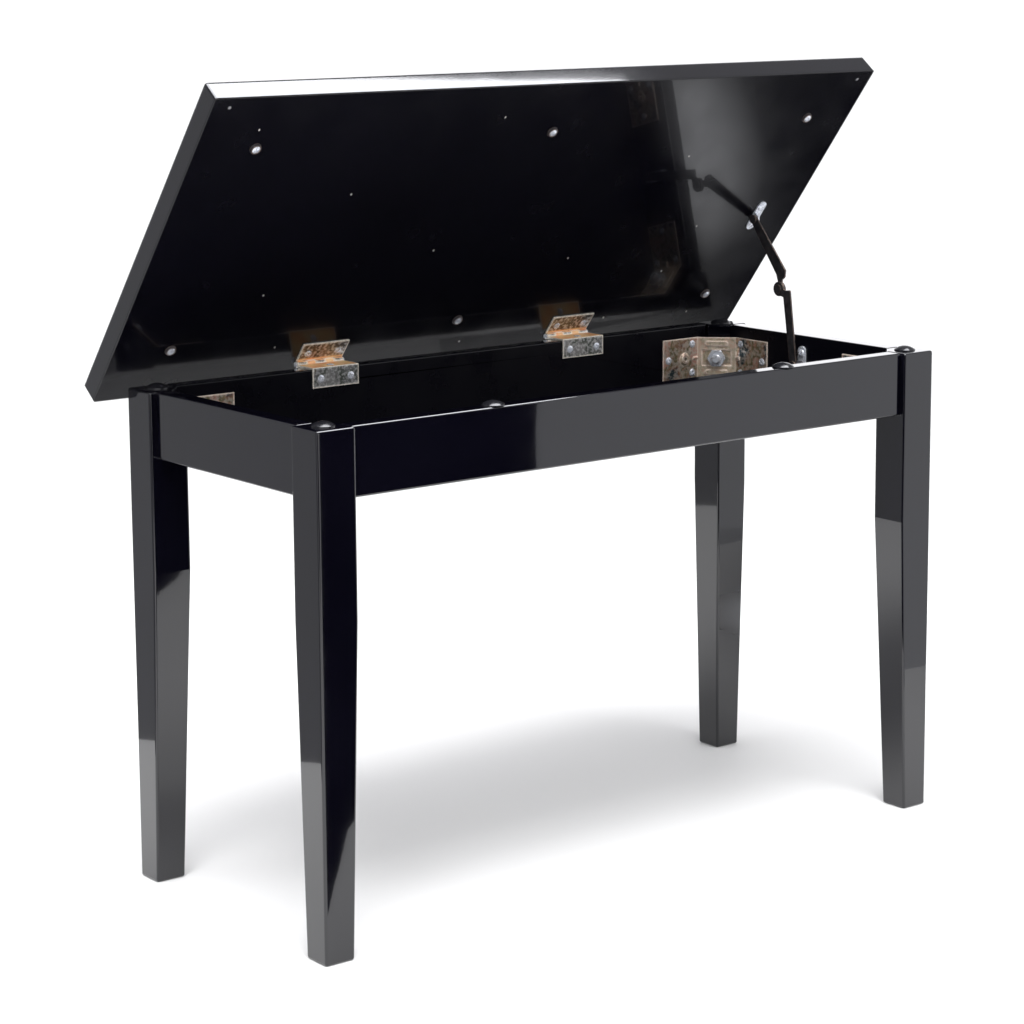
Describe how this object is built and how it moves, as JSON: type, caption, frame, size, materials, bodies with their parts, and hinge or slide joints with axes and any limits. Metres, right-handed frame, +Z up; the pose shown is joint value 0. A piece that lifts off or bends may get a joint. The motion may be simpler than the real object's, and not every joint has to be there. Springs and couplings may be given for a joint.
{
  "type": "storage piano bench",
  "caption": "Wooden piano bench with tapered square legs and a hinged lid over a storage box, held open by a folding stay.",
  "frame": {"origin": "middle of the bench's bounding box with the lid open, on the floor", "axes": "+X to the sitter's right along the bench, +Y towards the hinge side, +Z up"},
  "size_m": [0.788, 0.354, 0.7583],
  "materials": {
    "black_lacquer": "polished black lacquer on wood",
    "panel_black": "thin plywood stained satin black",
    "black_bumper": "glossy black plastic",
    "yellow_zinc": "yellow zinc-plated sheet steel",
    "nickel_steel": "nickel-plated sheet steel",
    "zinc_steel": "bright zinc-plated steel",
    "bronze_steel": "dark bronzed steel",
    "grey_plastic": "grey plastic"
  },
  "bodies": {
    "frame": {"leg_front_left": "black_lacquer", "leg_front_right": "black_lacquer", "leg_rear_left": "black_lacquer", "leg_rear_right": "black_lacquer", "apron_front": "black_lacquer", "apron_rear": "black_lacquer", "apron_left": "black_lacquer", "apron_right": "black_lacquer", "bottom_panel": "panel_black", "bottom_panel_screws": "zinc_steel", "brace_front_left": "yellow_zinc", "brace_front_right": "yellow_zinc", "brace_rear_left": "yellow_zinc", "brace_rear_right": "yellow_zinc", "brace_screws": "zinc_steel", "hanger_bolts": "zinc_steel", "hanger_nuts": "zinc_steel", "corner_bumpers": "black_bumper", "front_bumpers": "black_bumper", "hinge_frame_leaf_left": "nickel_steel", "hinge_frame_leaf_right": "nickel_steel", "hinge_frame_screws": "zinc_steel", "hinge_pins": "zinc_steel", "stay_frame_bracket": "zinc_steel", "stay_frame_stud": "bronze_steel", "stay_frame_screws": "zinc_steel"},
    "lid": {"lid_board": "black_lacquer", "lid_plugs": "grey_plastic", "lid_screws": "zinc_steel", "lid_cup_washers": "bronze_steel", "hinge_lid_leaf_left": "nickel_steel", "hinge_lid_leaf_right": "nickel_steel", "hinge_lid_screws": "zinc_steel", "stay_lid_bracket": "zinc_steel", "stay_lid_rivet": "bronze_steel", "stay_lid_screws": "zinc_steel"},
    "lower_arm": {"stay_lower_arm": "bronze_steel", "stay_elbow_rivet": "bronze_steel"},
    "upper_arm": {"stay_upper_arm": "bronze_steel"}
  },
  "joints": [
    {"name": "lid_hinge", "type": "hinge", "parent": "frame", "child": "lid", "pos_m": [0, 0.144, 0.473], "axis": [-1, 0, 0], "range_deg": [-51.8, 0]},
    {"name": "lower_arm_pivot", "type": "hinge", "parent": "frame", "child": "lower_arm", "pos_m": [0.334, -0.0145, 0.441], "axis": [1, 0, 0], "range_deg": [-80.1, 0]},
    {"name": "upper_arm_pivot", "type": "hinge", "parent": "lid", "child": "upper_arm", "pos_m": [0.336, 0.04919, 0.58863], "axis": [-1, 0, 0], "range_deg": [-40.5, 0]}
  ],
  "couplings": [
    {"joint": "lower_arm_pivot", "follows": "lid_hinge", "ratio": 1.5463},
    {"joint": "upper_arm_pivot", "follows": "lid_hinge", "ratio": 0.78185}
  ]
}
